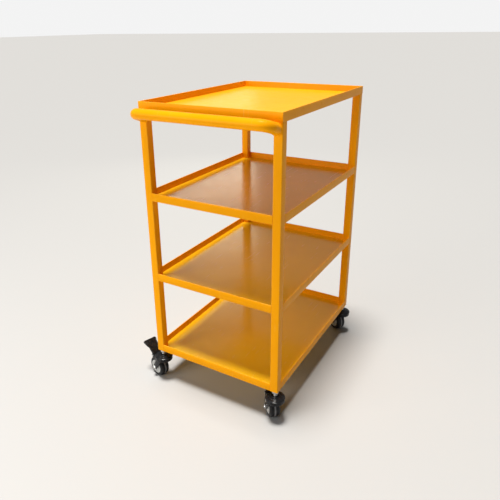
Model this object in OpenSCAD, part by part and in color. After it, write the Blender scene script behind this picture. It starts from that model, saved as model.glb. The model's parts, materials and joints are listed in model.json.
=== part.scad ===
// Four-level welded steel service trolley with a tube push handle and four swivel castors.
// X runs across the handle side, Y from the handle side (front) to the far side (back), Z up.
// The origin is on the floor, under the middle of the frame.

/* [Frame] */
// Width of the frame, across the handle side
frame_w = 450; // [360:5:600]
// Length of the frame, from the handle side to the far side
frame_l = 600; // [480:5:900]
// Height of the welded frame, without the castors
frame_h = 825; // [680:5:1050]

/* [Steel sections] */
// Outer side of the square post tube
post_side = 25; // [20:0.5:32]
// Wall of the post tube
post_wall = 1.5; // [1:0.1:2.5]
// Height and width of the angle rails
angle_leg = 25; // [20:0.5:32]
// Thickness of the angle rails
angle_t = 3; // [2:0.1:4]
// Thickness of the deck sheets
deck_t = 2; // [1:0.1:3]
// Gap left between a deck and the posts and lips round it, later filled by paint
deck_gap = 0.4; // [0.2:0.1:1]

/* [Handle] */
// Outer diameter of the handle tube
handle_d = 30; // [22:0.5:34]
// Wall of the handle tube
handle_wall = 1.5; // [1:0.1:2.5]
// Distance from the front of the frame to the centre of the handle bar
handle_reach = 46; // [42:1:80]
// How far the handle bar stands above the ends of its legs
handle_rise = 16; // [0:1:24]
// Bend radius of the handle, at the middle of the tube
handle_bend = 24; // [19:0.5:30]
// Distance from the side of the frame to the outside of a handle leg
handle_inset = 2; // [0:0.5:6]
// Distance from the underside of the top tray to the centre of a leg end
handle_drop = 17; // [17:0.5:60]

/* [Castor wheel] */
// Diameter of the castor wheel
wheel_d = 70; // [50:0.5:84]
// Width of the tyre
tyre_w = 32; // [24:0.5:40]
// Thickness of the tyre
tyre_t = 11.5; // [8:0.5:14]
// Rounding of the tyre shoulders
tyre_round = 7; // [4:0.5:8]
// Width of the coloured band round the middle of the tyre
band_w = 5; // [3:0.5:8]
// Depth of the groove that holds the band
band_depth = 2; // [1:0.5:3]
// How far the wheel hub stands out past each side of the tyre
hub_proud = 1.5; // [1:0.5:3]
// Diameter of the wheel axle bolt
axle_d = 8; // [6:0.5:10]

/* [Castor fork and swivel] */
// Distance from the swivel axis to the wheel axle
trail = 29; // [24:0.5:36]
// Thickness of the fork plate
fork_t = 3; // [2:0.1:4]
// Gap between the top of the tyre and the fork crown
crown_gap = 2.5; // [2:0.5:8]
// Height of the fork crown
crown_h = 12; // [10:0.5:20]
// Radius of the fork crown
crown_r = 29; // [26:0.5:34]
// Diameter of the bearing balls
ball_d = 5; // [4:0.5:6]
// Gap between the fork crown and the race above it
race_gap = 1; // [0.6:0.1:2]
// Height of the domed race
race_h = 11.5; // [10.5:0.5:18]
// How far the race rim reaches past the fork crown
race_lip = 1; // [0.5:0.1:2]
// Diameter of the threaded stem
stem_d = 12; // [10:0.5:14]
// Height of the stem and nut between the race and the post
stem_gap = 18; // [14:0.5:30]
// Length of the stem inside the post
stem_grip = 22; // [15:1:40]
// Clearance round a shaft that turns in a bore
running_gap = 0.05; // [0.02:0.01:0.09]
// Turn of the front left castor about its stem
turn_front_left = 164; // [0:1:359]
// Turn of the front right castor about its stem
turn_front_right = 134; // [0:1:359]
// Turn of the back left castor about its stem
turn_back_left = 158; // [0:1:359]
// Turn of the back right castor about its stem
turn_back_right = 145; // [0:1:359]

/* [Brake] */
// Gap from the tyre to the centre of the brake pin
pin_gap = 9; // [8:0.5:12]
// Gap between the fork crown and the eye of the pedal
eye_gap = 4; // [3:0.5:6]
// Diameter of the brake pin
pin_d = 5; // [4:0.5:6]
// How far the pedal reaches past the tyre
pedal_reach = 24; // [16:1:32]
// Gap between the raised pedal tip and the underside of the frame
pedal_gap = 7; // [6:0.5:14]
// Width of the pedal at its tip
pedal_tip_w = 50; // [44:1:58]
// Gap between the neck of the pedal and each fork leg
neck_gap = 1.1; // [0.6:0.1:3]
// Thickness of the pedal plate
pedal_t = 3; // [2:0.5:4]
// How far the pedal turns down to lock, in degrees
brake_turn = 20; // [16:1:22]
// Gap left between the brake shoe and the tyre when locked
shoe_gap = 0.4; // [0.3:0.1:1]

/* [Hidden] */
$fn = 96;
bite = 1;
levels = 4;
wheel_r = wheel_d / 2;
rim_r = wheel_r - tyre_t;
hub_boss_r = axle_d / 2 + 5;
hub_w = tyre_w + 2 * hub_proud;
leg_in = hub_w / 2 + 0.6;
pedal_neck_w = 2 * (leg_in - neck_gap);
leg_out = leg_in + fork_t;
crown_base = wheel_d + crown_gap;
crown_top = crown_base + crown_h;
race_base = crown_top + race_gap;
race_top = race_base + race_h;
castor_h = race_top + stem_gap;
pitch = (frame_h - angle_leg) / (levels - 1);
post_top = castor_h + frame_h - angle_leg;
swivel_x = (frame_w - post_side) / 2;
swivel_y = (frame_l - post_side) / 2;
ball_ring = crown_r - ball_d - 1;
ball_z = crown_top + race_gap / 2;
ball_count = floor(360 / (2 * asin(ball_d / ball_ring / 2)) / 1.15);
nut_af = stem_d * 1.55;
nut_h = stem_d * 0.8;
stem_head_r = stem_d / 2 + 4;
stem_head_h = 3;
stem_base = crown_top - fork_t - stem_head_h - 0.5;
insert_gap = 0.1;
insert_h = stem_grip + 3;
race_rim_h = 4;
race_slope = 3;
crown_skirt = 4;
crown_edge = 2;
leg_front_x = -crown_r * 0.45;
leg_rear_x = crown_r * 0.8;
ear_root_x = crown_r * 0.6;
heel_drop = 10;
hub_dish = 2;
hub_boss_dish = 3.5;
hub_cone = 1.5;
hub_rim = 3;
pin_stub = 1.5;
axle_nut_af = axle_d * 1.6;
axle_nut_h = axle_d * 0.7;
leg_end_r = axle_d / 2 + 5.5;
ear_r = pin_d / 2 + 3.5;
pin_x = crown_r + eye_gap + ear_r - 1;
pin_z = wheel_r + sqrt(pow(wheel_r + pin_gap, 2) - pow(pin_x - trail, 2));
tip_x = trail + wheel_r + pedal_reach;
tip_z = castor_h - pedal_gap;
pedal_len = norm([tip_x - pin_x, tip_z - pin_z]);
pedal_up = atan2(tip_z - pin_z, tip_x - pin_x);
pedal_corner = 5;
pedal_flare = 0.45;
cheek_t = 2.5;
cheek_r = ear_r - 1;
plate_z = ear_r - pedal_t;
cheek_end = 0.8;
shoe_run = 8;

// ---- helpers ----

// Height of the underside of a level, 0 for the bottom one
function level_z(level) = castor_h + level * pitch;

// Draws its children once at every swivel axis
module at_each_corner() {
    for (side = [-1, 1], end = [-1, 1])
        translate([side * swivel_x, end * swivel_y, 0]) children();
}

// Puts a castor, drawn with its wheel trailing along +X, at one corner and turns it
module at_castor(side, end, turn) {
    translate([side * swivel_x, end * swivel_y, 0]) rotate([0, 0, turn]) children();
}

// Lays a shape drawn about the Z axis across the castor, along Y
module across() {
    rotate([90, 0, 0]) children();
}

module hexagon(across_flats, height) {
    cylinder(d = across_flats / cos(30), h = height, $fn = 6);
}

// ---- welded frame ----

module post(side, end) {
    color("orange") translate([side * swivel_x, end * swivel_y, castor_h]) difference() {
        translate([-post_side / 2, -post_side / 2, 0]) cube([post_side, post_side, post_top - castor_h]);
        translate([-post_side / 2 + post_wall, -post_side / 2 + post_wall, -bite])
            cube([post_side - 2 * post_wall, post_side - 2 * post_wall, post_top - castor_h + 2 * bite]);
    }
}

// Angle section, corner at the origin, legs along +X and +Z, swept along +Y
module angle_bar(length) {
    translate([0, length, 0]) rotate([90, 0, 0]) linear_extrude(length)
        polygon([[0, 0], [angle_leg, 0], [angle_leg, angle_t], [angle_t, angle_t], [angle_t, angle_leg],
            [0, angle_leg]]);
}

// Rail butted between two posts: lip outside and up, shelf leg inside and down
module side_rail(side, level) {
    rail_length = frame_l - 2 * post_side;
    color("orange") mirror([side > 0 ? 1 : 0, 0, 0])
        translate([-frame_w / 2, -rail_length / 2, level_z(level)]) angle_bar(rail_length);
}

module end_rail(end, level) {
    rail_length = frame_w - 2 * post_side;
    color("orange") mirror([0, end > 0 ? 1 : 0, 0]) rotate([0, 0, 90])
        translate([-frame_l / 2, -rail_length / 2, level_z(level)]) angle_bar(rail_length);
}

// Top rail, whose ends are mitred against its neighbours
module mitred_bar(length) {
    difference() {
        angle_bar(length);
        rotate([0, 0, 45]) translate([-2 * angle_leg, -4 * angle_leg, -bite])
            cube([6 * angle_leg, 4 * angle_leg, angle_leg + 2 * bite]);
        translate([0, length, 0]) rotate([0, 0, -45]) translate([-2 * angle_leg, 0, -bite])
            cube([6 * angle_leg, 4 * angle_leg, angle_leg + 2 * bite]);
    }
}

module top_side_rail(side) {
    color("orange") mirror([side > 0 ? 1 : 0, 0, 0])
        translate([-frame_w / 2, -frame_l / 2, post_top]) mitred_bar(frame_l);
}

module top_end_rail(end) {
    color("orange") mirror([0, end > 0 ? 1 : 0, 0]) rotate([0, 0, 90])
        translate([-frame_l / 2, -frame_w / 2, post_top]) mitred_bar(frame_w);
}

// Sheet inside the lips, lying on the shelf legs
module deck_sheet(z) {
    sheet_w = frame_w - 2 * (angle_t + deck_gap);
    sheet_l = frame_l - 2 * (angle_t + deck_gap);
    translate([-sheet_w / 2, -sheet_l / 2, z + angle_t]) cube([sheet_w, sheet_l, deck_t]);
}

// Lower decks are notched round the four posts
module notched_deck(level) {
    notch = post_side + 2 * deck_gap;
    color("darkgoldenrod") difference() {
        deck_sheet(level_z(level));
        at_each_corner() translate([-notch / 2, -notch / 2, level_z(level)])
            cube([notch, notch, angle_leg]);
    }
}

module top_deck() {
    color("gold") deck_sheet(post_top);
}

// ---- handle ----

leg_x = frame_w / 2 - handle_inset - handle_d / 2;
leg_length = norm([handle_reach, handle_rise]);
handle_tilt = atan2(handle_rise, handle_reach);

// One leg, its bend and half the bar, drawn in a flat plane with the leg along -Y
module half_handle(radius) {
    straight = leg_length - handle_bend;
    translate([leg_x, 2 * handle_d, 0]) rotate([90, 0, 0]) cylinder(r = radius, h = straight + 2 * handle_d);
    translate([leg_x - handle_bend, -straight, 0]) rotate([0, 0, -90])
        rotate_extrude(angle = 90) translate([handle_bend, 0]) circle(r = radius);
    translate([0, -leg_length, 0]) rotate([0, 90, 0]) cylinder(r = radius, h = leg_x - handle_bend);
}

module handle_form(radius) {
    half_handle(radius);
    mirror([1, 0, 0]) half_handle(radius);
}

module push_handle() {
    color("gold") difference() {
        translate([0, -frame_l / 2, post_top - handle_drop]) rotate([-handle_tilt, 0, 0]) difference() {
            handle_form(handle_d / 2);
            handle_form(handle_d / 2 - handle_wall);
        }
        translate([-frame_w, -frame_l / 2, post_top - frame_w]) cube([2 * frame_w, frame_l, 2 * frame_w]);
    }
}

// ---- castor parts that stay with the frame ----

module post_inserts() {
    insert_side = post_side - 2 * post_wall - 2 * insert_gap;
    color("silver") at_each_corner() translate([0, 0, castor_h]) difference() {
        translate([-insert_side / 2, -insert_side / 2, 0]) cube([insert_side, insert_side, insert_h]);
        translate([0, 0, -bite]) cylinder(r = stem_d / 2 + running_gap, h = insert_h + 2 * bite);
    }
}

module castor_stems() {
    color("silver") at_each_corner() {
        translate([0, 0, stem_base]) cylinder(d = stem_d, h = castor_h + stem_grip - stem_base);
        translate([0, 0, stem_base]) cylinder(r = stem_head_r, h = stem_head_h);
    }
}

module stem_nuts() {
    color("silver") at_each_corner() translate([0, 0, castor_h - nut_h]) difference() {
        rotate([0, 0, 15]) hexagon(nut_af, nut_h);
        translate([0, 0, -bite]) cylinder(r = stem_d / 2 + running_gap, h = nut_h + 2 * bite);
    }
}

// Domed cup with a groove underneath for the balls
module swivel_races() {
    shaft = stem_d / 2 + running_gap;
    rim_radius = crown_r + race_lip;
    rim_top = race_base + race_rim_h;
    color("black") at_each_corner() rotate_extrude() difference() {
        polygon([[shaft, race_base], [rim_radius, race_base], [rim_radius, rim_top],
            [rim_radius - race_slope, rim_top + race_slope], [stem_head_r + race_slope + 2, race_top - 1],
            [stem_head_r + race_slope - 1, race_top], [shaft, race_top]]);
        translate([ball_ring, ball_z]) circle(r = ball_d / 2 + running_gap);
    }
}

// ---- castor parts that swivel ----

// Point where a line from p touches a circle of the given radius round c
function touch(p, c, radius, hand) =
    let (d = c - p, reach = norm(d), turn = hand * asin(radius / reach),
        run = sqrt(reach * reach - radius * radius), heading = atan2(d[1], d[0]) + turn)
    p + run * [cos(heading), sin(heading)];

// Side view of a fork leg: from the crown down to a round end on the axle
module leg_outline(eared) {
    axle = [trail, wheel_r];
    front = [leg_front_x, crown_top - fork_t];
    rear = [leg_rear_x, crown_top - fork_t];
    waist = [leg_rear_x, crown_base];
    polygon([front, rear, waist, touch(waist, axle, leg_end_r, 1), axle, touch(front, axle, leg_end_r, -1)]);
    translate(axle) circle(r = leg_end_r);
    if (eared) {
        pin = [pin_x, pin_z];
        shoulder = [ear_root_x, pin_z + ear_r];
        heel = [leg_rear_x, crown_base - heel_drop];
        translate(pin) circle(r = ear_r);
        polygon([shoulder, [pin_x, pin_z + ear_r], pin, touch(heel, pin, ear_r, -1), heel]);
    }
}

module fork(eared) {
    shaft = stem_d / 2 + running_gap;
    difference() {
        union() {
            rotate_extrude() polygon([[shaft, crown_top - fork_t], [crown_r - fork_t, crown_top - fork_t],
                [crown_r - fork_t, crown_base + crown_skirt], [crown_r, crown_base + crown_skirt],
                [crown_r, crown_top - crown_edge], [crown_r - crown_edge, crown_top], [shaft, crown_top]]);
            for (hand = [-1, 1]) translate([0, hand * (leg_in + fork_t / 2) + fork_t / 2, 0]) across()
                linear_extrude(fork_t) leg_outline(eared);
        }
        translate([trail, leg_out + bite, wheel_r]) across()
            cylinder(r = axle_d / 2 + running_gap, h = 2 * (leg_out + bite));
        rotate_extrude() translate([ball_ring, ball_z]) circle(r = ball_d / 2 + running_gap);
        if (eared) translate([pin_x, leg_out + bite, pin_z]) across()
            cylinder(r = pin_d / 2 + running_gap, h = 2 * (leg_out + bite));
    }
}

module balls() {
    for (i = [0 : ball_count - 1]) rotate([0, 0, i * 360 / ball_count])
        translate([ball_ring, 0, ball_z]) sphere(d = ball_d);
}

// Bolt with a hexagon head on one side and a nut on the other
module axle_set() {
    translate([trail, leg_out, wheel_r]) across() cylinder(d = axle_d, h = 2 * leg_out + axle_nut_h + 2);
    translate([trail, leg_out + axle_nut_h, wheel_r]) across() hexagon(axle_nut_af, axle_nut_h);
    translate([trail, -leg_out, wheel_r]) across() difference() {
        hexagon(axle_nut_af, axle_nut_h);
        translate([0, 0, -bite]) cylinder(r = axle_d / 2 + running_gap, h = axle_nut_h + 2 * bite);
    }
}

// ---- castor parts that roll, turned about the wheel axle ----

module about_axle() {
    translate([trail, 0, wheel_r]) across() rotate_extrude() children();
}

module wheel_hub() {
    bore = axle_d / 2 + running_gap;
    cone_r = hub_boss_r + hub_cone;
    cone_y = tyre_w / 2 - hub_boss_dish;
    dish_y = tyre_w / 2 - hub_dish;
    about_axle() polygon([[bore, -hub_w / 2], [hub_boss_r, -hub_w / 2], [cone_r, -cone_y],
        [rim_r - hub_rim, -dish_y], [rim_r, -tyre_w / 2], [rim_r, tyre_w / 2], [rim_r - hub_rim, dish_y],
        [cone_r, cone_y], [hub_boss_r, hub_w / 2], [bore, hub_w / 2]]);
}

// Right half of the tyre section, with the groove for the band cut out of its tread
module tyre() {
    about_axle() difference() {
        union() {
            translate([rim_r, -tyre_w / 2]) square([tyre_t - tyre_round, tyre_w]);
            translate([rim_r, -tyre_w / 2 + tyre_round]) square([tyre_t, tyre_w - 2 * tyre_round]);
            for (hand = [-1, 1]) translate([wheel_r - tyre_round, hand * (tyre_w / 2 - tyre_round)])
                circle(r = tyre_round);
        }
        translate([wheel_r - band_depth, -band_w / 2]) square([tyre_round, band_w]);
        translate([0, -tyre_w / 2]) square([rim_r, tyre_w]);
    }
}

module tyre_band() {
    about_axle() translate([wheel_r - band_depth, -band_w / 2]) square([band_depth, band_w]);
}

// ---- brake, drawn about its pin with the pedal along +X ----

module at_pin() {
    translate([pin_x, 0, pin_z]) rotate([0, -pedal_up, 0]) children();
}

module brake_pedal() {
    neck_x = ear_r + 4;
    flare_x = pedal_len * pedal_flare;
    difference() {
        at_pin() {
            translate([0, 0, plate_z]) linear_extrude(pedal_t) union() {
                translate([-1, -pedal_neck_w / 2]) square([flare_x + 1, pedal_neck_w]);
                polygon([[flare_x, -pedal_neck_w / 2], [pedal_len - pedal_corner, -pedal_tip_w / 2],
                    [pedal_len - pedal_corner, pedal_tip_w / 2], [flare_x, pedal_neck_w / 2]]);
                translate([pedal_len - pedal_corner, -pedal_tip_w / 2 + pedal_corner])
                    square([pedal_corner, pedal_tip_w - 2 * pedal_corner]);
                for (hand = [-1, 1])
                    translate([pedal_len - pedal_corner, hand * (pedal_tip_w / 2 - pedal_corner)])
                        circle(r = pedal_corner);
            }
            for (hand = [-1, 1])
                translate([0, hand * (pedal_neck_w - cheek_t) / 2 + cheek_t / 2, 0]) across()
                    linear_extrude(cheek_t) union() {
                        circle(r = cheek_r);
                        polygon([[0, -cheek_r], [neck_x, -cheek_r + 2], [pedal_len * cheek_end, plate_z],
                            [-1, plate_z], [-1, 0]]);
                    }
        }
        translate([pin_x, leg_out, pin_z]) across()
            cylinder(r = pin_d / 2 + running_gap, h = 2 * leg_out);
    }
}

// Cam round the pin, between the cheeks. Its face is the tyre's own curve, met when the pedal is
// turned down. It is drawn about the pin, with the wheel straight below it.
module brake_shoe() {
    inner_w = pedal_neck_w - 2 * cheek_t;
    pin_lean = atan2(pin_x - trail, pin_z - wheel_r);
    translate([pin_x, inner_w / 2, pin_z]) rotate([0, pin_lean - brake_turn, 0]) across()
        linear_extrude(inner_w) difference() {
            union() {
                circle(r = cheek_r);
                translate([0, -pin_gap - cheek_r]) square([shoe_run, pin_gap + cheek_r]);
            }
            circle(r = pin_d / 2 + running_gap);
            rotate(pedal_up + pin_lean - brake_turn) translate([-wheel_r, plate_z])
                square([2 * wheel_r, wheel_r]);
            translate([0, -pin_gap - wheel_r]) circle(r = wheel_r + shoe_gap);
        }
}

module brake_pin() {
    translate([pin_x, leg_out + pin_stub, pin_z]) across() cylinder(d = pin_d, h = 2 * (leg_out + pin_stub));
}

// ---- placed sub-parts ----

module front_left_post() { post(-1, -1); }
module front_right_post() { post(1, -1); }
module back_left_post() { post(-1, 1); }
module back_right_post() { post(1, 1); }

module front_left_castor() { at_castor(-1, -1, turn_front_left) children(); }
module front_right_castor() { at_castor(1, -1, turn_front_right) children(); }
module back_left_castor() { at_castor(-1, 1, turn_back_left) children(); }
module back_right_castor() { at_castor(1, 1, turn_back_right) children(); }

front_left_post();
front_right_post();
back_left_post();
back_right_post();
top_end_rail(-1);  // top_front_rail
top_end_rail(1);  // top_back_rail
top_side_rail(-1);  // top_left_rail
top_side_rail(1);  // top_right_rail
top_deck();
end_rail(-1, 2);  // upper_front_rail
end_rail(1, 2);  // upper_back_rail
side_rail(-1, 2);  // upper_left_rail
side_rail(1, 2);  // upper_right_rail
notched_deck(2);  // upper_deck
end_rail(-1, 1);  // middle_front_rail
end_rail(1, 1);  // middle_back_rail
side_rail(-1, 1);  // middle_left_rail
side_rail(1, 1);  // middle_right_rail
notched_deck(1);  // middle_deck
end_rail(-1, 0);  // bottom_front_rail
end_rail(1, 0);  // bottom_back_rail
side_rail(-1, 0);  // bottom_left_rail
side_rail(1, 0);  // bottom_right_rail
notched_deck(0);  // bottom_deck
push_handle();
post_inserts();
castor_stems();
stem_nuts();
swivel_races();
color("black") front_left_castor() fork(true);  // front_left_fork
color("silver") front_left_castor() balls();  // front_left_balls
color("silver") front_left_castor() axle_set();  // front_left_axle
color("lightgrey") front_left_castor() wheel_hub();  // front_left_wheel_hub
color("black") front_left_castor() tyre();  // front_left_tyre
color("grey") front_left_castor() tyre_band();  // front_left_tyre_band
color("black") front_right_castor() fork(true);  // front_right_fork
color("silver") front_right_castor() balls();  // front_right_balls
color("silver") front_right_castor() axle_set();  // front_right_axle
color("lightgrey") front_right_castor() wheel_hub();  // front_right_wheel_hub
color("black") front_right_castor() tyre();  // front_right_tyre
color("grey") front_right_castor() tyre_band();  // front_right_tyre_band
color("black") back_left_castor() fork(false);  // back_left_fork
color("silver") back_left_castor() balls();  // back_left_balls
color("silver") back_left_castor() axle_set();  // back_left_axle
color("lightgrey") back_left_castor() wheel_hub();  // back_left_wheel_hub
color("black") back_left_castor() tyre();  // back_left_tyre
color("grey") back_left_castor() tyre_band();  // back_left_tyre_band
color("black") back_right_castor() fork(false);  // back_right_fork
color("silver") back_right_castor() balls();  // back_right_balls
color("silver") back_right_castor() axle_set();  // back_right_axle
color("lightgrey") back_right_castor() wheel_hub();  // back_right_wheel_hub
color("black") back_right_castor() tyre();  // back_right_tyre
color("grey") back_right_castor() tyre_band();  // back_right_tyre_band
color("black") front_left_castor() brake_pedal();  // front_left_brake_pedal
color("silver") front_left_castor() brake_pin();  // front_left_brake_pin
color("dimgrey") front_left_castor() brake_shoe();  // front_left_brake_shoe
color("black") front_right_castor() brake_pedal();  // front_right_brake_pedal
color("silver") front_right_castor() brake_pin();  // front_right_brake_pin
color("dimgrey") front_right_castor() brake_shoe();  // front_right_brake_shoe
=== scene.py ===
# %% [markdown]
# # A welded steel service cart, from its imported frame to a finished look
# The cart is a stack of four lipped trays on square posts, with a bent tube handle and four
# swivel castors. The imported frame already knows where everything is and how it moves. Here
# each piece gets the rounded edges, welds, treads and paint of the real one, and keeps its
# place, because every size below is read from the frame or named in millimetres.

# %% Load the frame
import json
import math
import bmesh
import bpy
from mathutils import Matrix, Vector, noise


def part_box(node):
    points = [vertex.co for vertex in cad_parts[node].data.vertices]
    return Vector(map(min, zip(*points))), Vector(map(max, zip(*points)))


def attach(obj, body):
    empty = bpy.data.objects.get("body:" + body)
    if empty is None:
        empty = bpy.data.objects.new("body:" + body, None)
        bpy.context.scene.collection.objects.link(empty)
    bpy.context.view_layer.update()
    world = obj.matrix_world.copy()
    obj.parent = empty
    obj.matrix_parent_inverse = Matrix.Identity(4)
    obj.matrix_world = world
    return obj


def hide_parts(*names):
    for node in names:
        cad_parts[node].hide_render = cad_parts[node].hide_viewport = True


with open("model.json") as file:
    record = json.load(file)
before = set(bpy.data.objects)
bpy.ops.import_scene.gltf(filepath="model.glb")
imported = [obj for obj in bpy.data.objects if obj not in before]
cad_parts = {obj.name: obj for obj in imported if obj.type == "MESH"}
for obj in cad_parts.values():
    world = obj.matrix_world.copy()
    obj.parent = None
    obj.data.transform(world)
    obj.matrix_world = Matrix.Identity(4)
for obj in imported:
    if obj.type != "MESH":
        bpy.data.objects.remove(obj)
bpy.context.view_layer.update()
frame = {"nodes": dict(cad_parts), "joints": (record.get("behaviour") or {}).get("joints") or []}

# %% [markdown]
# ## Sizes
# The posts, the rails and the wheel radius are measured from the frame, so a frame with other
# outer sizes still gets pieces that fit it. Steel thicknesses, the tyre width and small
# roundings are the usual ones of bought parts, so they are simply named.

# %% Measure the cart
MM = 0.001
post_low, post_high = (Vector(c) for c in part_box("front_left_post"))
far_high = Vector(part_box("back_right_post")[1])
half_w = far_high.x
half_l = far_high.y
post_side = post_high.x - post_low.x
frame_base = post_low.z
tray_base = post_high.z
lip_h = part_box("top_front_rail")[1][2] - tray_base
angle_t = 3 * MM
deck_t = 2 * MM
wall_t = 1.5 * MM
deck_gap = 0.4 * MM
LEVELS = {level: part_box(f"{level}_front_rail")[0][2] for level in ("bottom", "middle", "upper", "top")}
CORNERS = {"front_left": (-1, -1), "front_right": (1, -1), "back_left": (-1, 1), "back_right": (1, 1)}
print("half width", round(half_w, 4), "half length", round(half_l, 4), "levels", LEVELS)

# %% [markdown]
# ## Camera, floor and light
# The camera stands to the front right and a little above the top tray, as a person would
# who looks the cart over. A soft sun almost overhead lights the tops. A wide lamp on the
# front left fills the handle side and reaches in between the decks, and leaves the right side
# in shade, so the square posts read as square. A warm window behind on the left is mirrored
# in the decks. The surroundings are pale to the camera, dimmer in reflections and dimmest as
# light.

# %% Camera
AIM = Vector((-0.0734, -0.0471, 0.4951))
AZIMUTH, ELEVATION, ROLL, DISTANCE = 31.43, 21.82, -0.92, 1.7247
away = Vector((math.sin(math.radians(AZIMUTH)), -math.cos(math.radians(AZIMUTH)), 0))
away = away * math.cos(math.radians(ELEVATION)) + Vector((0, 0, math.sin(math.radians(ELEVATION))))
camera = bpy.data.objects.new("camera", bpy.data.cameras.new("camera"))
camera.data.lens = 36.89
camera.data.shift_x = 0.0334
camera.data.shift_y = -0.0418
turn = away.to_track_quat("Z", "Y").to_matrix().to_4x4()
tip = Matrix.Rotation(math.radians(ROLL), 4, "Z")
camera.matrix_world = Matrix.Translation(AIM + away * DISTANCE) @ turn @ tip
bpy.context.scene.collection.objects.link(camera)
bpy.context.scene.camera = camera
bpy.context.scene.view_settings.view_transform = "Standard"


# %% Lights, floor and surroundings
LAMPS_LOOK_AT = Vector((0, 0, 0.5))
SUN_STANDS = Vector((-0.05, -0.10, 0.99))


def soft_lamp(name, at, size, watts, colour):
    lamp = bpy.data.objects.new(name, bpy.data.lights.new(name, "AREA"))
    lamp.data.shape = "RECTANGLE"
    lamp.data.size, lamp.data.size_y = size
    lamp.data.energy = watts
    lamp.data.color = colour
    facing = (Vector(at) - LAMPS_LOOK_AT).to_track_quat("Z", "Y")
    lamp.matrix_world = Matrix.Translation(at) @ facing.to_matrix().to_4x4()
    bpy.context.scene.collection.objects.link(lamp)


sun = bpy.data.objects.new("sun", bpy.data.lights.new("sun", "SUN"))
sun.data.energy = 5.0
sun.data.angle = math.radians(16)
sun.data.color = (1, 0.97, 0.92)
sun.matrix_world = SUN_STANDS.to_track_quat("Z", "Y").to_matrix().to_4x4()
bpy.context.scene.collection.objects.link(sun)
soft_lamp("front", at=(-1.3, -2.7, 1.2), size=(1.6, 1.2), watts=42, colour=(1, 0.98, 0.94))
soft_lamp("window", at=(-1.8, 2.3, 1.25), size=(0.9, 0.9), watts=4.6, colour=(1, 0.92, 0.74))

AS_LIGHT, IN_MIRRORS, TO_CAMERA = 0.06, 0.30, 0.84
world = bpy.data.worlds.new("studio")
bpy.context.scene.world = world
world.use_nodes = True
wt = world.node_tree
sky, ray = wt.nodes["Background"], wt.nodes.new("ShaderNodeLightPath")
sky.inputs["Color"].default_value = (1, 1, 1, 1)
mirrored, seen = wt.nodes.new("ShaderNodeMath"), wt.nodes.new("ShaderNodeMath")
for node, amount, base in ((mirrored, IN_MIRRORS, AS_LIGHT), (seen, TO_CAMERA, 0)):
    node.operation = "MULTIPLY_ADD"
    node.inputs[1].default_value = amount
    node.inputs[2].default_value = base
wt.links.new(ray.outputs["Is Glossy Ray"], mirrored.inputs[0])
wt.links.new(ray.outputs["Is Camera Ray"], seen.inputs[0])
wt.links.new(mirrored.outputs[0], seen.inputs[2])
wt.links.new(seen.outputs[0], sky.inputs["Strength"])

bm = bmesh.new()
bmesh.ops.create_grid(bm, x_segments=1, y_segments=1, size=60)
floor_mesh = bpy.data.meshes.new("floor")
bm.to_mesh(floor_mesh)
bm.free()
floor = bpy.data.objects.new("floor", floor_mesh)
bpy.context.scene.collection.objects.link(floor)
floor_paint = bpy.data.materials.new("pale_floor")
floor_paint.use_nodes = True
floor_shader = floor_paint.node_tree.nodes["Principled BSDF"]
floor_shader.inputs["Base Color"].default_value = (0.46, 0.46, 0.46, 1)
floor_shader.inputs["Roughness"].default_value = 0.7
floor_mesh.materials.append(floor_paint)

# %% [markdown]
# ## Shared surface effects
# Powder coat is a skin of melted grains: it is glossy but faintly dimpled, like orange peel.
# Sheet that has carried boxes has hairline scratches, edges get rubbed, and dust settles on
# what faces up. Each effect is a node group with named inputs, built once and used in every
# material with its own amounts. The groups only put out masks, tones and heights.


# %% A way to build node groups
def start_group(name, inputs, outputs):
    group = bpy.data.node_groups.new(name, "ShaderNodeTree")
    for label, value in inputs.items():
        socket = group.interface.new_socket(label, in_out="INPUT", socket_type="NodeSocketFloat")
        socket.default_value = value
    for label in outputs:
        group.interface.new_socket(label, in_out="OUTPUT", socket_type="NodeSocketFloat")
    return group, group.nodes.new("NodeGroupInput"), group.nodes.new("NodeGroupOutput")


def put(tree, kind, values=None, **settings):
    """Adds a node, sets its properties, then sets or links its inputs by name or number."""
    made = tree.nodes.new(kind)
    for key, value in settings.items():
        setattr(made, key, value)
    for key, value in (values or {}).items():
        if isinstance(value, bpy.types.NodeSocket):
            tree.links.new(value, made.inputs[key])
        else:
            made.inputs[key].default_value = value
    return made


def math_node(tree, operation, first, second=0.0, clamp=False):
    made = put(tree, "ShaderNodeMath", {0: first, 1: second}, operation=operation, use_clamp=clamp)
    return made.outputs[0]


def ramp(tree, value, low, high, out_low=0.0, out_high=1.0):
    made = put(tree, "ShaderNodeMapRange", {"Value": value, "From Min": low, "From Max": high,
                                            "To Min": out_low, "To Max": out_high})
    return made.outputs["Result"]


def cloud(tree, place, scale, detail=2.0, rough=0.5):
    made = put(tree, "ShaderNodeTexNoise", {"Vector": place, "Scale": scale, "Detail": detail,
                                            "Roughness": rough})
    return made.outputs["Fac"]


# %% Sprayed skin: dimples, slow changes of tone, uneven gloss
def sprayed_skin():
    group, given, result = start_group(
        "sprayed_skin", {"Dimple Scale": 420.0, "Tone Scale": 7.0}, ["Height", "Tone", "Gloss"])
    place = group.nodes.new("ShaderNodeTexCoord").outputs["Object"]
    dimples = cloud(group, place, given.outputs["Dimple Scale"], 1.0)
    ripple = cloud(group, place, 28.0, 1.0)
    summed = put(group, "ShaderNodeMath", {0: ripple, 1: 2.0, 2: dimples}, operation="MULTIPLY_ADD")
    group.links.new(summed.outputs[0], result.inputs["Height"])
    group.links.new(cloud(group, place, given.outputs["Tone Scale"], 3.0, 0.6), result.inputs["Tone"])
    group.links.new(ramp(group, cloud(group, place, 45.0, 4.0, 0.65), 0.3, 0.7), result.inputs["Gloss"])
    return group


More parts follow.
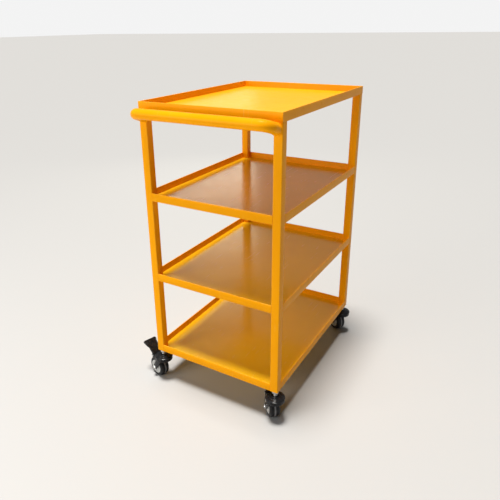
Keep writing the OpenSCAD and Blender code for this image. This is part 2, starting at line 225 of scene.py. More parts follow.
# %% Hairline scratches: long thin noise, laid in two directions
def hairline_scratches():
    group, given, result = start_group("hairline_scratches", {"Amount": 0.5}, ["Mask"])
    place = group.nodes.new("ShaderNodeTexCoord").outputs["Object"]
    strokes = []
    for turn_deg, across, along in ((12, 380, 9), (74, 300, 7), (-35, 420, 14)):
        laid = put(group, "ShaderNodeMapping", {"Vector": place, "Rotation": (0, 0, math.radians(turn_deg)),
                                                "Scale": (across, along, along)})
        thread = cloud(group, laid.outputs["Vector"], 1.0, 1.0)
        here = cloud(group, place, 9.0 + across / 60, 2.0)
        thin = ramp(group, thread, 0.70, 0.76)
        strokes.append(math_node(group, "MULTIPLY", thin, ramp(group, here, 0.5, 0.62)))
    both = math_node(group, "MAXIMUM", strokes[0], strokes[1])
    every = math_node(group, "MAXIMUM", both, strokes[2])
    group.links.new(math_node(group, "MULTIPLY", every, given.outputs["Amount"], True), result.inputs["Mask"])
    return group


# %% Rubbed edges: where a mesh says it is an edge, broken up by noise
def rubbed_edges():
    group, given, result = start_group("rubbed_edges", {"Edge": 0.0, "Amount": 0.5}, ["Mask"])
    place = group.nodes.new("ShaderNodeTexCoord").outputs["Object"]
    broken = ramp(group, cloud(group, place, 60.0, 5.0, 0.7), 0.42, 0.62)
    worn = math_node(group, "MULTIPLY", given.outputs["Edge"], broken)
    group.links.new(math_node(group, "MULTIPLY", worn, given.outputs["Amount"], True), result.inputs["Mask"])
    return group


# %% Settled dust: a thin film on what faces up, and specks anywhere
def settled_dust():
    group, given, result = start_group("settled_dust", {"Film": 0.2, "Specks": 0.2}, ["Mask"])
    place = group.nodes.new("ShaderNodeTexCoord").outputs["Object"]
    facing = group.nodes.new("ShaderNodeNewGeometry").outputs["Normal"]
    upward = put(group, "ShaderNodeSeparateXYZ", {"Vector": facing}).outputs["Z"]
    patchy = ramp(group, cloud(group, place, 18.0, 5.0, 0.7), 0.35, 0.75)
    lying = math_node(group, "MULTIPLY", upward, patchy, True)
    film = math_node(group, "MULTIPLY", lying, given.outputs["Film"])
    grain = ramp(group, cloud(group, place, 900.0, 1.0), 0.74, 0.80)
    specks = math_node(group, "MULTIPLY", grain, given.outputs["Specks"])
    group.links.new(math_node(group, "MAXIMUM", film, specks), result.inputs["Mask"])
    return group


SKIN, SCRATCHES, EDGES, DUST = sprayed_skin(), hairline_scratches(), rubbed_edges(), settled_dust()
print("effect groups", [g.name for g in bpy.data.node_groups])

# %% [markdown]
# ## Materials
# Three recipes cover the cart. Paint is baked powder, more or less glossy. A moulding is
# plastic or rubber: dull, grainy and dusty. Bare metal is zinc or bearing steel. Each is a
# function, so every finish of the cart is one short call.


# %% Recipes
RUBBED_COAT, SCRATCHED_COAT, DUSTY_COAT = (0.95, 0.55, 0.10), (0.96, 0.60, 0.16), (0.60, 0.42, 0.22)
GREY_DUST = (0.32, 0.30, 0.27)
LEAST_SHINE = 0.06
WARM_SHINE = (1, 0.84, 0.56, 1)
COAT_DEPTH, GRAIN_DEPTH, METAL_DEPTH = 0.00004, 0.00005, 0.00002


def start_material(name):
    made = bpy.data.materials.new(name)
    made.use_nodes = True
    tree = made.node_tree
    return made, tree, tree.nodes["Principled BSDF"]


def effect(tree, group, values):
    return put(tree, "ShaderNodeGroup", values, node_tree=group).outputs


def blend_colour(tree, amount, under, over):
    made = put(tree, "ShaderNodeMix", {"Factor": amount}, data_type="RGBA")
    for socket, colour in ((made.inputs[6], under), (made.inputs[7], over)):
        if isinstance(colour, bpy.types.NodeSocket):
            tree.links.new(colour, socket)
        else:
            socket.default_value = (*colour, 1)
    return made.outputs[2]


def dimple(tree, shader, height, depth):
    bump = put(tree, "ShaderNodeBump", {"Height": height, "Strength": 1.0, "Distance": depth})
    tree.links.new(bump.outputs["Normal"], shader.inputs["Normal"])


def powder_coat(name, light, deep, rough, wear, scratches, film, shine):
    """Baked powder with a low, warm gloss: light and deep are the two ends of its tone."""
    made, tree, shader = start_material(name)
    skin = effect(tree, SKIN, {"Dimple Scale": 420.0, "Tone Scale": 6.0})
    edge = put(tree, "ShaderNodeAttribute", attribute_name="rubbed").outputs["Fac"]
    rub = effect(tree, EDGES, {"Edge": edge, "Amount": wear})["Mask"]
    marks = effect(tree, SCRATCHES, {"Amount": scratches})["Mask"]
    dust = effect(tree, DUST, {"Film": film, "Specks": film})["Mask"]
    tone = blend_colour(tree, ramp(tree, skin["Tone"], 0.35, 0.65), deep, light)
    worn = blend_colour(tree, rub, tone, RUBBED_COAT)
    marked = blend_colour(tree, marks, worn, SCRATCHED_COAT)
    dusty = blend_colour(tree, dust, marked, DUSTY_COAT)
    tree.links.new(dusty, shader.inputs["Base Color"])
    duller = math_node(tree, "MULTIPLY", math_node(tree, "MAXIMUM", marks, dust), 0.35)
    clean = ramp(tree, skin["Gloss"], 0.0, 1.0, rough, rough + 0.10)
    tree.links.new(math_node(tree, "ADD", clean, duller), shader.inputs["Roughness"])
    dimple(tree, shader, skin["Height"], COAT_DEPTH)
    shader.inputs["Specular IOR Level"].default_value = LEAST_SHINE + shine
    shader.inputs["Specular Tint"].default_value = WARM_SHINE
    return made


def moulding(name, colour, worn_colour, rough, grain, wear, film, shine):
    """Plastic, rubber or black enamel with a fine grain, rubbed edges and dust."""
    made, tree, shader = start_material(name)
    skin = effect(tree, SKIN, {"Dimple Scale": grain, "Tone Scale": 40.0})
    edge = put(tree, "ShaderNodeAttribute", attribute_name="rubbed").outputs["Fac"]
    rub = effect(tree, EDGES, {"Edge": edge, "Amount": wear})["Mask"]
    dust = effect(tree, DUST, {"Film": film, "Specks": film})["Mask"]
    tone = blend_colour(tree, ramp(tree, skin["Tone"], 0.3, 0.7, 0.0, 0.25), colour, worn_colour)
    worn = blend_colour(tree, rub, tone, worn_colour)
    dusty = blend_colour(tree, dust, worn, GREY_DUST)
    tree.links.new(dusty, shader.inputs["Base Color"])
    tree.links.new(ramp(tree, skin["Gloss"], 0.0, 1.0, rough, rough + 0.15), shader.inputs["Roughness"])
    dimple(tree, shader, skin["Height"], GRAIN_DEPTH)
    shader.inputs["Specular IOR Level"].default_value = shine
    return made


def bare_metal(name, colour, dull, rough):
    """Plated or polished steel, clouded a little and finely scratched."""
    made, tree, shader = start_material(name)
    skin = effect(tree, SKIN, {"Dimple Scale": 900.0, "Tone Scale": 90.0})
    marks = effect(tree, SCRATCHES, {"Amount": 0.7})["Mask"]
    clouded = blend_colour(tree, ramp(tree, skin["Tone"], 0.4, 0.7), colour, dull)
    tree.links.new(blend_colour(tree, marks, clouded, dull), shader.inputs["Base Color"])
    tree.links.new(ramp(tree, skin["Gloss"], 0.0, 1.0, rough, rough + 0.2), shader.inputs["Roughness"])
    dimple(tree, shader, skin["Height"], METAL_DEPTH)
    shader.inputs["Metallic"].default_value = 1.0
    return made


# %% Finishes of this cart
FRAME_PAINT = powder_coat("frame_paint", light=(0.92, 0.37, 0.002), deep=(0.87, 0.34, 0.001),
                          rough=0.26, wear=0.4, scratches=0.2, film=0.03, shine=0.0)
# Frame, decks and top tray are one real paint. The two deck finishes are copies of it with painted light. The
# lower deck copy is lighter and glossier, and stands in for the shade and pale reflections under the trays.
# The top tray copy is lighter and duller than the frame, for the sun on it.
DECK_PAINT_FOR_SHADE = powder_coat("deck_paint", light=(0.97, 0.58, 0.010), deep=(0.94, 0.54, 0.008),
                         rough=0.15, wear=0.4, scratches=0.5, film=0.04, shine=0.8)
TRAY_PAINT_FOR_SUN = powder_coat("tray_paint_sunlit_copy", light=(0.95, 0.43, 0.004), deep=(0.90, 0.40, 0.003),
                         rough=0.30, wear=0.4, scratches=0.5, film=0.05, shine=0.02)
BLACK_ENAMEL = moulding("black_enamel", (0.003, 0.003, 0.004), (0.03, 0.03, 0.032),
                        rough=0.16, grain=500.0, wear=0.7, film=0.02, shine=0.22)
TREAD_RUBBER = moulding("tread_rubber", (0.005, 0.005, 0.006), (0.022, 0.022, 0.022),
                        rough=0.36, grain=700.0, wear=0.4, film=0.04, shine=0.2)
BAND_RUBBER = moulding("band_rubber", (0.17, 0.17, 0.175), (0.26, 0.26, 0.26),
                       rough=0.5, grain=700.0, wear=0.5, film=0.06, shine=0.35)
HUB_PLASTIC = moulding("hub_plastic", (0.50, 0.50, 0.48), (0.62, 0.62, 0.60),
                       rough=0.32, grain=500.0, wear=0.4, film=0.04, shine=0.5)
SHOE_RUBBER = moulding("shoe_rubber", (0.012, 0.012, 0.012), (0.04, 0.04, 0.04),
                       rough=0.6, grain=800.0, wear=0.5, film=0.06, shine=0.3)
ZINC = bare_metal("bright_zinc", (0.55, 0.55, 0.54), dull=(0.34, 0.34, 0.33), rough=0.24)
BEARING = bare_metal("bearing_steel", (0.80, 0.80, 0.80), dull=(0.6, 0.6, 0.6), rough=0.08)
FINISH_OF_SLOT = {"frame_paint": FRAME_PAINT, "deck_paint": DECK_PAINT_FOR_SHADE, "castor_black": BLACK_ENAMEL,
                  "tyre_rubber": TREAD_RUBBER, "band_rubber": BAND_RUBBER, "hub_plastic": HUB_PLASTIC,
                  "shoe_rubber": SHOE_RUBBER, "zinc_steel": ZINC, "bearing_steel": BEARING}
print("finishes", sorted(FINISH_OF_SLOT))

# %% [markdown]
# ## Helpers for meshes
# A flat outline is the start of most steel parts: it is drawn with few points, its corners
# are rounded by a vertex bevel, and then it is pushed along as a bar or spun round an axis
# as a turned part. One more helper softens edges and marks them for the wear in the paint.


# %% Outline, push, spin, soften, finish
def outline(points, radii=None, segments=4):
    """A face in the XZ plane through the points; radii maps a point's number to its rounding."""
    bm = bmesh.new()
    corners = [bm.verts.new((x, 0, z)) for x, z in points]
    bm.faces.new(corners)
    for radius in sorted(set((radii or {}).values())):
        chosen = [corners[i] for i, r in radii.items() if r == radius]
        bmesh.ops.bevel(bm, geom=chosen, offset=radius, offset_type="OFFSET", affect="VERTICES",
                        segments=segments, profile=0.5, material=-1)
    return bm


def arc(centre, radius, start, end, steps):
    """Points of a round stretch of an outline, angles in degrees from +X towards +Z."""
    turns = [math.radians(start + (end - start) * i / steps) for i in range(steps + 1)]
    return [(centre[0] + radius * math.cos(t), centre[1] + radius * math.sin(t)) for t in turns]


def push(bm, length):
    """Makes a bar of the outline, centred along Y."""
    made = bmesh.ops.extrude_face_region(bm, geom=bm.faces[:])
    moved = [v for v in made["geom"] if isinstance(v, bmesh.types.BMVert)]
    bmesh.ops.translate(bm, verts=moved, vec=(0, length, 0))
    bmesh.ops.translate(bm, verts=bm.verts[:], vec=(0, -length / 2, 0))
    bmesh.ops.recalc_face_normals(bm, faces=bm.faces[:])
    return bm


def turn_round(bm, steps=64):
    """Spins the outline once round the Z axis."""
    bmesh.ops.delete(bm, geom=bm.faces[:], context="FACES_ONLY")
    bmesh.ops.spin(bm, geom=bm.verts[:] + bm.edges[:], cent=(0, 0, 0), axis=(0, 0, 1), dvec=(0, 0, 0),
                   angle=math.tau, steps=steps, use_merge=True, use_duplicate=False)
    bmesh.ops.remove_doubles(bm, verts=bm.verts[:], dist=1e-6)
    bmesh.ops.recalc_face_normals(bm, faces=bm.faces[:])
    return bm


def soften(bm, width, segments=2, sharper_than=30):
    """Rounds the sharp edges and marks the new faces as rubbed."""
    mark = bm.faces.layers.float.get("rubbed") or bm.faces.layers.float.new("rubbed")
    limit = math.radians(sharper_than)
    sharp = [e for e in bm.edges if e.is_manifold and e.calc_face_angle(0) > limit]
    made = bmesh.ops.bevel(bm, geom=sharp, offset=width, offset_type="OFFSET", affect="EDGES",
                           segments=segments, profile=0.5, clamp_overlap=True, material=-1)
    for face in made["faces"]:
        face[mark] = 1.0
    return bm


def join(*parts):
    """Puts several small meshes into one, as separate shells."""
    whole = bmesh.new()
    for part in parts:
        scrap = bpy.data.meshes.new("scrap")
        part.to_mesh(scrap)
        part.free()
        whole.from_mesh(scrap)
        bpy.data.meshes.remove(scrap)
    return whole


def finish_piece(name, bm, slot, body, stands_for=(), flat_under=32, paint=None):
    """Turns a finished bmesh into a piece that rides on a body."""
    mesh = bpy.data.meshes.new(name)
    bm.to_mesh(mesh)
    bm.free()
    mesh.shade_smooth()
    mesh.set_sharp_from_angle(angle=math.radians(flat_under))
    mesh.materials.append(paint or FINISH_OF_SLOT[slot])
    piece = bpy.data.objects.new(name, mesh)
    bpy.context.scene.collection.objects.link(piece)
    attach(piece, body)
    if stands_for:
        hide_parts(*stands_for)
    print(name, len(mesh.polygons), "faces")


# %% [markdown]
# ## Posts
# A post is cold-drawn square tube, so its corners are round outside and in. It starts as a
# box. The upright edges are bevelled, both ends are inset by the wall, and the two inner
# rings are bridged, which opens the tube from end to end.

# %% Square tube posts
POST_CORNER = 2.2 * MM


def square_tube(low, high, wall, corner):
    bm = bmesh.new()
    bmesh.ops.create_cube(bm, size=1)
    bmesh.ops.scale(bm, verts=bm.verts[:], vec=high - low)
    bmesh.ops.translate(bm, verts=bm.verts[:], vec=(high + low) / 2)
    uprights = [e for e in bm.edges if abs(e.verts[0].co.z - e.verts[1].co.z) > wall]
    mark = bm.faces.layers.float.new("rubbed")
    rounded = bmesh.ops.bevel(bm, geom=uprights, offset=corner, offset_type="OFFSET", affect="EDGES",
                              segments=5, profile=0.5, material=-1)
    for face in rounded["faces"]:
        face[mark] = 0.5
    ends = [f for f in bm.faces if abs(f.normal.z) > 0.9]
    bmesh.ops.inset_individual(bm, faces=ends, thickness=wall, use_even_offset=True)
    rings = [e for f in ends for e in f.edges]
    bmesh.ops.delete(bm, geom=ends, context="FACES_ONLY")
    bmesh.ops.bridge_loops(bm, edges=rings)
    bmesh.ops.recalc_face_normals(bm, faces=bm.faces[:])
    return bm


for corner in CORNERS:
    low, high = (Vector(c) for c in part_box(f"{corner}_post"))
    finish_piece(f"{corner}_post_tube", square_tube(low, high, wall_t, POST_CORNER), "frame_paint", "frame",
                 [f"{corner}_post"])

# %% [markdown]
# ## Angle rails
# Rolled angle has a small fillet inside its root and soft toes. Each rail is one outline
# pushed along. The lower rails are butted between the posts. The top four run right to the
# corners, where their ends are sheared to a mitre by sliding each end point inwards as far
# as it stands from the outer face.

# %% Angle rails
RAIL_ROUNDS = {0: 1.0 * MM, 1: 0.8 * MM, 2: 1.2 * MM, 3: 2.5 * MM, 4: 1.2 * MM, 5: 0.8 * MM}


def angle_rail(length, mitred):
    points = [(0, 0), (post_side, 0), (post_side, angle_t), (angle_t, angle_t), (angle_t, lip_h), (0, lip_h)]
    bm = push(outline(points, RAIL_ROUNDS, 3), length)
    mark = bm.faces.layers.float.new("rubbed")
    narrow = length * 1.2 * MM
    for face in bm.faces:
        face[mark] = 1.0 if face.calc_area() < narrow and len(face.verts) == 4 else 0.0
    if mitred:
        for vert in bm.verts:
            vert.co.y -= math.copysign(vert.co.x, vert.co.y)
    return bm


SIDES = {"left": (180, half_w, half_l), "right": (0, half_w, half_l),
         "front": (270, half_l, half_w), "back": (90, half_l, half_w)}
for level, height in LEVELS.items():
    for side, (heading, reach, half_run) in SIDES.items():
        mitred = level == "top"
        run = 2 * half_run if mitred else 2 * (half_run - post_side)
        rail = angle_rail(run, mitred)
        place = Matrix.Rotation(math.radians(heading + 180), 4, "Z")
        out = Matrix.Rotation(math.radians(heading), 4, "Z") @ Vector((reach, 0, height))
        rail.transform(Matrix.Translation(out) @ place)
        finish_piece(f"{level}_{side}_angle", rail, "frame_paint", "frame", [f"{level}_{side}_rail"])

# %% [markdown]
# ## Decks
# Each deck is 2 mm sheet laid inside the lips. Welding pulls such a sheet about, so it is
# never quite flat, and that is why reflections in it swim. The outline is cut into strips
# both ways, and a slow noise lifts the middle by less than a millimetre.

# %% Sheet decks
SWELL = 0.7 * MM
STRIPS = 14


def deck(height, notched):
    edge_x = half_w - angle_t - deck_gap
    edge_y = half_l - angle_t - deck_gap
    step = post_side - angle_t
    bm = bmesh.new()
    ring = []
    for side_x, side_y in ((-1, -1), (1, -1), (1, 1), (-1, 1)):
        turn_in = [(edge_x, edge_y - step), (edge_x - step, edge_y - step), (edge_x - step, edge_y)]
        spots = turn_in if notched else [(edge_x, edge_y)]
        if side_x * side_y < 0:
            spots.reverse()
        ring += [bm.verts.new((side_x * x, side_y * y, height + angle_t)) for x, y in spots]
    sheet = bm.faces.new(ring)
    bmesh.ops.extrude_face_region(bm, geom=[sheet])
    top = [v for v in bm.verts if v not in ring]
    bmesh.ops.translate(bm, verts=top, vec=(0, 0, deck_t))
    bmesh.ops.recalc_face_normals(bm, faces=bm.faces[:])
    soften(bm, 0.3 * MM, 1)
    for i in range(1, STRIPS):
        for axis, half in ((Vector((1, 0, 0)), edge_x), (Vector((0, 1, 0)), edge_y)):
            cut = axis * half * (2 * i / STRIPS - 1)
            bmesh.ops.bisect_plane(bm, geom=bm.verts[:] + bm.edges[:] + bm.faces[:], dist=1e-7,
                                   plane_co=cut, plane_no=axis)
    for vert in bm.verts:
        x, y = vert.co.xy
        fade = max(0.0, 1 - (x / edge_x) ** 4) * max(0.0, 1 - (y / edge_y) ** 4)
        vert.co.z += fade * SWELL * noise.noise(Vector((x * 5, y * 5, height * 7)))
    return bm


for level, height in LEVELS.items():
    # Painted light: the top tray takes the sunlit copy of the paint, and the lower decks take the copy made
    # for their shade and reflections.
    paint = TRAY_PAINT_FOR_SUN if level == "top" else DECK_PAINT_FOR_SHADE
    finish_piece(f"{level}_deck_sheet", deck(height, level != "top"), "deck_paint", "frame",
                 [f"{level}_deck"], flat_under=20, paint=paint)

# %% [markdown]
# ## Push handle
# The handle is one tube with a tight bend at each end, tilted up and welded to the fronts of
# the posts. A circle is pushed along the first leg, spun round the bend, pushed along the
# bar, spun again and pushed back. The flat shape is then tilted, and a plane through the
# post faces cuts the legs to fit.

# %% Handle tube
grip_low, grip_high = (Vector(c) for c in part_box("push_handle"))
tube_r = 15 * MM
bend_r = 24 * MM
leg_x = grip_high.x - tube_r
bar_y = grip_low.y + tube_r
bar_z = grip_high.z - tube_r
foot_z = bar_z - 16 * MM
reach = -half_l - bar_y
tilt = math.atan2(bar_z - foot_z, reach)
flat_leg = math.hypot(reach, bar_z - foot_z)


def handle_tube():
    bm = bmesh.new()
    bmesh.ops.create_circle(bm, cap_ends=False, radius=tube_r, segments=32)
    bmesh.ops.rotate(bm, verts=bm.verts[:], matrix=Matrix.Rotation(math.radians(90), 3, "X"))
    bmesh.ops.translate(bm, verts=bm.verts[:], vec=(-leg_x, 3 * tube_r, 0))
    ring = bm.edges[:]
    runs = (((0, -(flat_leg - bend_r) - 3 * tube_r, 0), 3), ((2 * (leg_x - bend_r), 0, 0), 12),
            ((0, flat_leg - bend_r + 3 * tube_r, 0), 3))
    centres = ((-leg_x + bend_r, bend_r - flat_leg, 0), (leg_x - bend_r, bend_r - flat_leg, 0))
    for number, (run, parts) in enumerate(runs):
        for _ in range(parts):
            made = bmesh.ops.extrude_edge_only(bm, edges=ring)
            ring = [g for g in made["geom"] if isinstance(g, bmesh.types.BMEdge)]
            verts = [g for g in made["geom"] if isinstance(g, bmesh.types.BMVert)]
            bmesh.ops.translate(bm, verts=verts, vec=Vector(run) / parts)
        if number < 2:
            verts = list({v for e in ring for v in e.verts})
            made = bmesh.ops.spin(bm, geom=verts + ring, cent=centres[number], axis=(0, 0, 1), dvec=(0, 0, 0),
                                  angle=math.radians(90), steps=10, use_merge=False, use_duplicate=False)
            ring = [g for g in made["geom_last"] if isinstance(g, bmesh.types.BMEdge)]
    bmesh.ops.remove_doubles(bm, verts=bm.verts[:], dist=1e-6)
    place = Matrix.Translation((0, -half_l, foot_z)) @ Matrix.Rotation(-tilt, 4, "X")
    bm.transform(place)
    bmesh.ops.bisect_plane(bm, geom=bm.verts[:] + bm.edges[:] + bm.faces[:], dist=1e-7,
                           plane_co=(0, -half_l, 0), plane_no=(0, 1, 0), clear_outer=True)
    bmesh.ops.recalc_face_normals(bm, faces=bm.faces[:])
    return bm


tube = handle_tube()
holes = [e for e in tube.edges if e.is_boundary]
bmesh.ops.holes_fill(tube, edges=holes, sides=0)
bmesh.ops.recalc_face_normals(tube, faces=tube.faces[:])
finish_piece("push_handle_tube", tube, "frame_paint", "frame", ["push_handle"])

# %% [markdown]
# ## Welds
# A hand weld is a row of small overlapping pools. Each bead is a thin round bar whose rings
# swell and shrink in step, laid in the corner that it fills and coated with the frame. The
# lowest rails have no beads under them, because the brake pedals swing there.

# %% Weld beads
POOL = 2.2 * MM
BEAD_R = 1.5 * MM
TIP, NECK = 0.5, 0.85


def bead(start, end):
    start, end = Vector(start), Vector(end)
    length = (end - start).length
    rings = max(4, round(length / POOL) * 2)
    bm = bmesh.new()
    bmesh.ops.create_circle(bm, cap_ends=False, radius=BEAD_R * TIP, segments=8)
    ring = bm.edges[:]
    for i in range(1, rings + 1):
        made = bmesh.ops.extrude_edge_only(bm, edges=ring)
        ring = [g for g in made["geom"] if isinstance(g, bmesh.types.BMEdge)]
        verts = [g for g in made["geom"] if isinstance(g, bmesh.types.BMVert)]
        swell = BEAD_R * (TIP if i == rings else 1.0 if i % 2 else NECK)
        middle = Vector((0, 0, length * (i - 1) / rings))
        for v in verts:
            v.co = middle + (v.co - middle).normalized() * swell + Vector((0, 0, length / rings))
    bmesh.ops.holes_fill(bm, edges=[e for e in bm.edges if e.is_boundary], sides=0)
    bmesh.ops.recalc_face_normals(bm, faces=bm.faces[:])
    bm.transform(Matrix.Translation(start) @ (end - start).to_track_quat("Z", "Y").to_matrix().to_4x4())
    return bm


beads = []
for level in ("bottom", "middle", "upper"):
    low = LEVELS[level] + angle_t + deck_t
    high = LEVELS[level] + lip_h - 1.5 * MM
    under = LEVELS[level] - 0.2 * MM
    for side_x, side_y in CORNERS.values():
        inner_x, inner_y = side_x * (half_w - post_side), side_y * (half_l - post_side)
        lip_x, lip_y = side_x * (half_w - angle_t), side_y * (half_l - angle_t)
        beads.append(bead((inner_x, lip_y, low), (inner_x, lip_y, high)))
        beads.append(bead((lip_x, inner_y, low), (lip_x, inner_y, high)))
        if level != "bottom":
            beads.append(bead((inner_x, side_y * (half_l - 2 * MM), under), (inner_x, inner_y, under)))
            beads.append(bead((side_x * (half_w - 2 * MM), inner_y, under), (inner_x, inner_y, under)))
finish_piece("shelf_welds", join(*beads), "frame_paint", "frame")

beads = []
for side_x, side_y in CORNERS.values():
    inner_x, inner_y = side_x * (half_w - post_side), side_y * (half_l - post_side)
    lip_x, lip_y = side_x * (half_w - angle_t), side_y * (half_l - angle_t)
    outer_x, outer_y = side_x * (half_w - 2 * MM), side_y * (half_l - 2 * MM)
    low = tray_base + angle_t + deck_t
    beads.append(bead((lip_x, lip_y, low), (lip_x, lip_y, tray_base + lip_h - 2 * MM)))
    beads.append(bead((inner_x, outer_y, tray_base), (inner_x, inner_y, tray_base)))
    beads.append(bead((outer_x, inner_y, tray_base), (inner_x, inner_y, tray_base)))
finish_piece("tray_welds", join(*beads), "frame_paint", "frame")


# %% Handle weld rings
RING_POOLS = 22


def weld_ring(centre, radius_x, radius_z):
    bm = bmesh.new()
    bmesh.ops.create_circle(bm, cap_ends=False, radius=BEAD_R * 1.3, segments=8)
    bmesh.ops.translate(bm, verts=bm.verts[:], vec=(radius_x, 0, 0))
    bmesh.ops.spin(bm, geom=bm.verts[:] + bm.edges[:], cent=(0, 0, 0), axis=(0, 1, 0), dvec=(0, 0, 0),
                   angle=math.tau, steps=RING_POOLS * 4, use_merge=True, use_duplicate=False)
    for v in bm.verts:
        around = math.atan2(v.co.z, v.co.x)
        core = Vector((math.cos(around), 0, math.sin(around))) * radius_x
        v.co = core + (v.co - core) * (0.9 + 0.14 * math.sin(RING_POOLS * around))
    bmesh.ops.recalc_face_normals(bm, faces=bm.faces[:])
    bm.transform(Matrix.Translation(centre) @ Matrix.Scale(radius_z / radius_x, 4, (0, 0, 1)))
    return bm


foot_half = tube_r / math.cos(tilt)
rings = [weld_ring((side * leg_x, -half_l - 0.4 * MM, foot_z), tube_r, foot_half) for side in (-1, 1)]
finish_piece("handle_welds", join(*rings), "frame_paint", "frame")

# %% [markdown]
# ## Castors
# Every castor is drawn the same way, trailing along +X with its stem on the Z axis. It is
# then turned about its stem as the frame's own joints say. Turned parts are outlines spun
# round an axis, and the fork is pressed plate with soft edges.

# %% Where each castor stands
joints = {j["name"]: j for j in frame["joints"]}


def castor_place(corner):
    """Matrix that takes the drawn castor to its corner, turned as its wheel axle says."""
    stem = Vector(joints[f"{corner}_swivel_turn"]["pos_m"])
    axle = joints[f"{corner}_wheel_spin"]["axis"]
    heading = math.atan2(-axle[0], axle[1])
    return Matrix.Translation((stem.x, stem.y, 0)) @ Matrix.Rotation(heading, 4, "Z")


first_stem = Vector(joints["front_left_swivel_turn"]["pos_m"])
first_wheel = Vector(joints["front_left_wheel_spin"]["pos_m"])
trail = (first_wheel - first_stem).xy.length
wheel_r = first_wheel.z
race_low, race_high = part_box("swivel_races")[0][2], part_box("swivel_races")[1][2]
race_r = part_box("swivel_races")[1][0] + first_stem.x
crown_top = race_low - 1 * MM
crown_base = wheel_r * 2 + 2.5 * MM
crown_r = race_r - 1 * MM
stem_r = 6 * MM
leg_in = 18.1 * MM
leg_t = 3 * MM
tyre_half = 16 * MM
tread_t = 11.5 * MM
hub_half = 17.5 * MM
rim_r = wheel_r - tread_t
axle_r = 4 * MM
pin = Vector(joints["front_left_brake"]["pos_m"])
pin_x = (pin - first_stem).xy.length
pin_z = pin.z
pin_r = 2.5 * MM
eye_r = pin_r + 3.5 * MM
print("trail", round(trail / MM, 2), "wheel radius", round(wheel_r / MM, 2), "pin", round(pin_x / MM, 2))


def on_axle(bm):
    """Moves a part turned about the Z axis onto the wheel axle."""
    bm.transform(Matrix.Translation((trail, 0, wheel_r)) @ Matrix.Rotation(math.radians(90), 4, "X"))
    return bm


# %% [markdown]
# ### Races, stems and nuts
# The race is a pressed black dome with stepped rings that catch the light. The stem above it
# is threaded, drawn as close rings, and a hexagon nut locks it under the post.

# %% Races, stems and nuts
def race_dome():
    shaft, top = stem_r + 0.1 * MM, race_high
    points = [(shaft, race_low), (race_r, race_low), (race_r, race_low + 3.8 * MM),
              (race_r - 2.6 * MM, race_low + 5 * MM), (race_r - 3.2 * MM, race_low + 6.8 * MM),
              (race_r - 8.5 * MM, race_low + 7.8 * MM), (race_r - 9.3 * MM, race_low + 9.4 * MM),
              (stem_r + 9 * MM, race_low + 10 * MM), (stem_r + 7.5 * MM, top), (shaft, top)]
    rounds = {1: 0.7 * MM, 2: 0.9 * MM, 3: 0.5 * MM, 4: 0.9 * MM, 5: 0.5 * MM, 6: 0.9 * MM, 8: 0.9 * MM}
    return turn_round(outline(points, rounds, 3))


def threaded_stem():
    low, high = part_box("castor_stems")[0][2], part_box("castor_stems")[1][2]
    thread_low, pitch = race_high - 1 * MM, 1.75 * MM
    points = [(0, low), (stem_r + 4 * MM, low), (stem_r + 4 * MM, low + 3 * MM), (stem_r, low + 3 * MM)]
    turns = int((high - 1.5 * MM - thread_low) / pitch)
    for i in range(turns):
        z = thread_low + i * pitch
        points += [(stem_r, z), (stem_r - 0.9 * MM, z + pitch / 2)]
    points += [(stem_r - 1 * MM, high), (0, high)]
    return turn_round(outline(points), 40)


NUT_CHAMFER = 0.8 * MM


def hexagon_nut(across_flats, height):
    bm = bmesh.new()
    radius = across_flats / 2 / math.cos(math.radians(30))
    bmesh.ops.create_cone(bm, cap_ends=True, segments=6, radius1=radius, radius2=radius, depth=height)
    ends = [e for e in bm.edges if abs(e.verts[0].co.z - e.verts[1].co.z) < height / 2]
    mark = bm.faces.layers.float.new("rubbed")
    made = bmesh.ops.bevel(bm, geom=ends, offset=NUT_CHAMFER, offset_type="OFFSET", affect="EDGES",
                           segments=2, profile=0.5, material=-1)
    for face in made["faces"]:
        face[mark] = 1.0
    return bm


def four_of(make):
    """The same part at all four stems, as one mesh of four shells."""
    parts = []
    for corner in CORNERS:
        part = make()
        part.transform(castor_place(corner))
        parts.append(part)
    return join(*parts)


def stem_nut():
    low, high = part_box("stem_nuts")[0][2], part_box("stem_nuts")[1][2]
    bm = hexagon_nut(18.6 * MM, high - low)
    bm.transform(Matrix.Translation((0, 0, (low + high) / 2)))
    return bm


finish_piece("swivel_race_domes", four_of(race_dome), "castor_black", "frame", ["swivel_races"])
finish_piece("threaded_stems", four_of(threaded_stem), "zinc_steel", "frame", ["castor_stems"])
finish_piece("stem_lock_nuts", four_of(stem_nut), "zinc_steel", "frame", ["stem_nuts"], flat_under=20)

# %% [markdown]
# ### Fork
# The fork is a round crown under the race with two flat legs. A leg is one outline: the crown
# width at the top, a round end on the axle and, where there is a brake, an ear for its pin.
# An arched web closes the fork above the tyre.


# %% Fork
def touch(point, centre, radius, hand):
    """Angle, seen from the centre, where a line from the point touches the circle."""
    dx, dz = point[0] - centre[0], point[1] - centre[1]
    return math.degrees(math.atan2(dz, dx) + hand * math.acos(radius / math.hypot(dx, dz)))


def fork_leg(eared):
    axle = (trail, wheel_r)
    foot_r = axle_r + 5.5 * MM
    top = crown_top - leg_t
    rear_x = crown_r * 0.8
    front = (-crown_r * 0.45, top)
    if eared:
        low_end = (rear_x, crown_base - 10 * MM)
        end = touch(low_end, (pin_x, pin_z), eye_r, 1) - 360
        ear = arc((pin_x, pin_z), eye_r, 90, end, 12)
        points = [front, (crown_r * 0.6, pin_z + eye_r)] + ear + [low_end]
    else:
        low_end = (rear_x, crown_base)
        points = [front, (rear_x, top), low_end]
    start = touch(low_end, axle, foot_r, -1)
    end = touch(front, axle, foot_r, 1) - 360
    points += arc(axle, foot_r, start, end, 14)
    bm = push(outline(points), leg_t)
    return soften(bm, 0.7 * MM, 3, 50)


